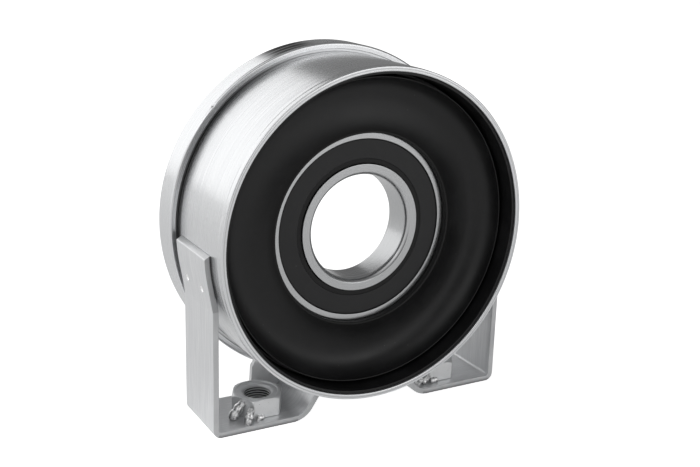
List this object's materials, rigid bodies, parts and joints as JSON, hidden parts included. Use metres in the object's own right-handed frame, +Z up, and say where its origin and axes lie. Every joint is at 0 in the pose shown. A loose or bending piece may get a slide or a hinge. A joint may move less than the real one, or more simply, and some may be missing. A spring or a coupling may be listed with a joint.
{
  "type": "driveshaft centre bearing",
  "caption": "Driveshaft centre bearing: sealed ball bearing in a black rubber cushion inside a plated steel drum, held by two welded strap feet with weld nuts.",
  "frame": {"origin": "centre of the ball bearing, on the shaft axis midway between its faces", "axes": "+Y along the shaft from the open front of the drum to the crimped rear, +Z up, +X to the right of someone looking at the front"},
  "size_m": [0.1964, 0.0777, 0.2039],
  "materials": {
    "plated_steel": "zinc-plated sheet, satin",
    "nut_steel": "zinc-plated, satin",
    "weld_metal": "as welded, plated over",
    "cushion_rubber": "moulded, satin",
    "seal_rubber": "moulded, satin",
    "bearing_steel": "fine ground",
    "ball_steel": "polished",
    "cage_steel": "pressed sheet"
  },
  "bodies": {
    "housing": {"outer_race": "bearing_steel", "front_seal": "seal_rubber", "rear_seal": "seal_rubber", "rubber_cushion": "cushion_rubber", "front_shell": "plated_steel", "rear_cover": "plated_steel", "right_bracket": "plated_steel", "left_bracket": "plated_steel", "right_gusset": "plated_steel", "left_gusset": "plated_steel", "right_nut": "nut_steel", "left_nut": "nut_steel", "right_nut_welds": "weld_metal", "left_nut_welds": "weld_metal", "right_lip_seam": "weld_metal", "left_lip_seam": "weld_metal"},
    "inner_ring": {"inner_race": "bearing_steel"},
    "ball_set": {"ball_01": "ball_steel", "ball_02": "ball_steel", "ball_03": "ball_steel", "ball_04": "ball_steel", "ball_05": "ball_steel", "ball_06": "ball_steel", "ball_07": "ball_steel", "ball_08": "ball_steel", "ball_09": "ball_steel", "ball_10": "ball_steel", "cage_front": "cage_steel", "cage_rear": "cage_steel", "cage_rivets": "cage_steel"}
  },
  "joints": [
    {"name": "inner_spin", "type": "hinge", "parent": "housing", "child": "inner_ring", "pos_m": [0, 0, 0], "axis": [0, 1, 0], "continuous": true},
    {"name": "cage_spin", "type": "hinge", "parent": "housing", "child": "ball_set", "pos_m": [0, 0, 0], "axis": [0, 1, 0], "continuous": true}
  ],
  "couplings": [
    {"joint": "cage_spin", "follows": "inner_spin", "ratio": 0.40662}
  ]
}
